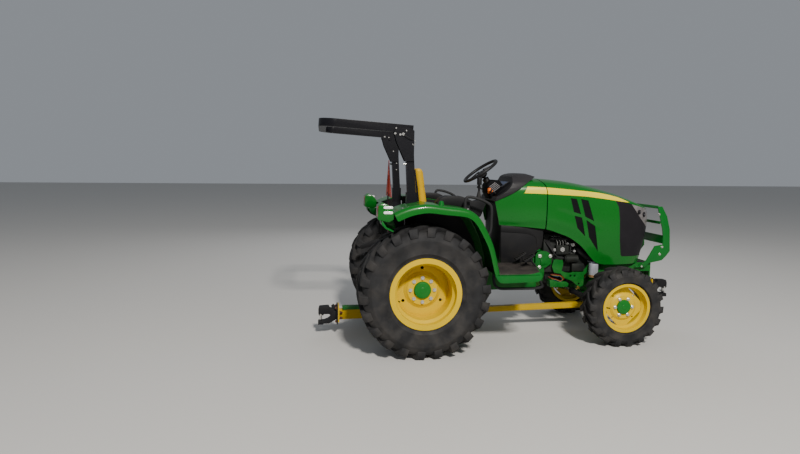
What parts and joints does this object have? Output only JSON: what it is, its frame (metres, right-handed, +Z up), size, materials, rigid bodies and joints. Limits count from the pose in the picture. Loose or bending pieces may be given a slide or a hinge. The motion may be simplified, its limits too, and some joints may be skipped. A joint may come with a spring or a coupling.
{
  "type": "compact tractor with tow hitches",
  "caption": "Compact four-wheel-drive tractor with a folding roll-over frame, a tipping brush guard, a rear-hinged hood and a full-length tow tube with a pintle hook at each end.",
  "frame": {"origin": "on the ground, midway between the tips of the front and rear tow hooks, on the middle plane", "axes": "+X forward, +Y to the tractor's left, +Z up"},
  "size_m": [3.322, 1.63, 1.8747],
  "materials": {
    "green_paint": "gloss paint",
    "green_panel": "moulded, gloss",
    "yellow_paint": "gloss paint",
    "black_paint": "satin paint",
    "black_plastic": "grained",
    "grille_black": "matt",
    "engine_castings": "painted cast iron",
    "bare_steel": "plated",
    "yellow_vinyl": "embossed vinyl",
    "orange_reflector": "reflective sheet",
    "lamp_lens": "clear lens",
    "tyre_rubber": "dusty rubber"
  },
  "bodies": {
    "chassis": {"transmission_case": "green_paint", "rear_axle_housing": "green_paint", "engine": "engine_castings", "engine_fittings": "bare_steel", "radiator": "black_paint", "frame_rails": "green_paint", "front_axle": "green_paint", "steering_cylinder": "bare_steel", "cowl": "green_panel", "side_panels": "black_plastic", "dash_shroud": "black_plastic", "steering_column": "black_plastic", "footboards": "green_paint", "pedals_and_levers": "black_plastic", "fenders": "green_panel", "consoles": "black_plastic", "grab_rails": "black_paint", "seat_base": "black_paint", "seat_cushion": "yellow_vinyl", "seat_back": "yellow_vinyl", "rops_legs": "black_paint", "warning_triangle": "orange_reflector", "fender_lamps": "green_panel", "front_hitch": "black_paint", "tow_bar": "yellow_paint", "rear_hitch": "black_paint", "drawbar": "green_paint", "lift_linkage": "black_paint"},
    "guard": {"brush_guard": "green_paint"},
    "hoop": {"rops_hoop": "black_paint"},
    "hand_wheel": {"steering_wheel": "black_plastic"},
    "hood": {"hood_shell": "green_panel", "hood_grille": "grille_black", "headlights": "lamp_lens"},
    "knuckle_left_body": {"knuckle_left": "green_paint"},
    "knuckle_right_body": {"knuckle_right": "green_paint"},
    "tie_rod": {"steering_rod": "bare_steel"},
    "wheel_rear_left": {"rear_tyre_left": "tyre_rubber", "rear_rim_left": "yellow_paint"},
    "wheel_rear_right": {"rear_tyre_right": "tyre_rubber", "rear_rim_right": "yellow_paint"},
    "wheel_front_left": {"front_tyre_left": "tyre_rubber", "front_rim_left": "yellow_paint"},
    "wheel_front_right": {"front_tyre_right": "tyre_rubber", "front_rim_right": "yellow_paint"}
  },
  "joints": [
    {"name": "rear_left_spin", "type": "hinge", "parent": "chassis", "child": "wheel_rear_left", "pos_m": [-0.832, 0.615, 0.522], "axis": [0, 1, 0], "continuous": true},
    {"name": "rear_right_spin", "type": "hinge", "parent": "chassis", "child": "wheel_rear_right", "pos_m": [-0.832, -0.615, 0.522], "axis": [0, 1, 0], "continuous": true},
    {"name": "steer_left", "type": "hinge", "parent": "chassis", "child": "knuckle_left_body", "pos_m": [0.906, 0.43, 0.381], "axis": [0, 0, 1], "range_deg": [-40, 40]},
    {"name": "steer_right", "type": "hinge", "parent": "chassis", "child": "knuckle_right_body", "pos_m": [0.906, -0.43, 0.381], "axis": [0, 0, 1], "range_deg": [-40, 40]},
    {"name": "front_left_spin", "type": "hinge", "parent": "knuckle_left_body", "child": "wheel_front_left", "pos_m": [0.906, 0.555, 0.333], "axis": [0, 1, 0], "continuous": true},
    {"name": "front_right_spin", "type": "hinge", "parent": "knuckle_right_body", "child": "wheel_front_right", "pos_m": [0.906, -0.555, 0.333], "axis": [0, 1, 0], "continuous": true},
    {"name": "tie_rod_slide", "type": "slide", "parent": "chassis", "child": "tie_rod", "axis": [0, 1, 0], "range_m": [-0.078, 0.078]},
    {"name": "hand_wheel_turn", "type": "hinge", "parent": "chassis", "child": "hand_wheel", "pos_m": [-0.204, 0, 1.463], "axis": [-0.5664, 0, 0.8241], "range_deg": [-545, 545]},
    {"name": "hoop_fold", "type": "hinge", "parent": "chassis", "child": "hoop", "pos_m": [-0.982, 0, 1.752], "axis": [0, 1, 0], "range_deg": [0, 83]},
    {"name": "guard_tilt", "type": "hinge", "parent": "chassis", "child": "guard", "pos_m": [1.273, 0, 0.61], "axis": [0, 1, 0], "range_deg": [0, 60]},
    {"name": "hood_open", "type": "hinge", "parent": "chassis", "child": "hood", "pos_m": [0.24, 0, 1.369], "axis": [0, -1, 0], "range_deg": [0, 50]}
  ],
  "couplings": [
    {"joint": "steer_right", "follows": "steer_left", "ratio": 1},
    {"joint": "tie_rod_slide", "follows": "steer_left", "m_per_rad": -0.1105},
    {"joint": "hand_wheel_turn", "follows": "steer_left", "ratio": 13.5},
    {"joint": "hood_open", "follows": "guard_tilt", "ratio": 0.8333}
  ]
}
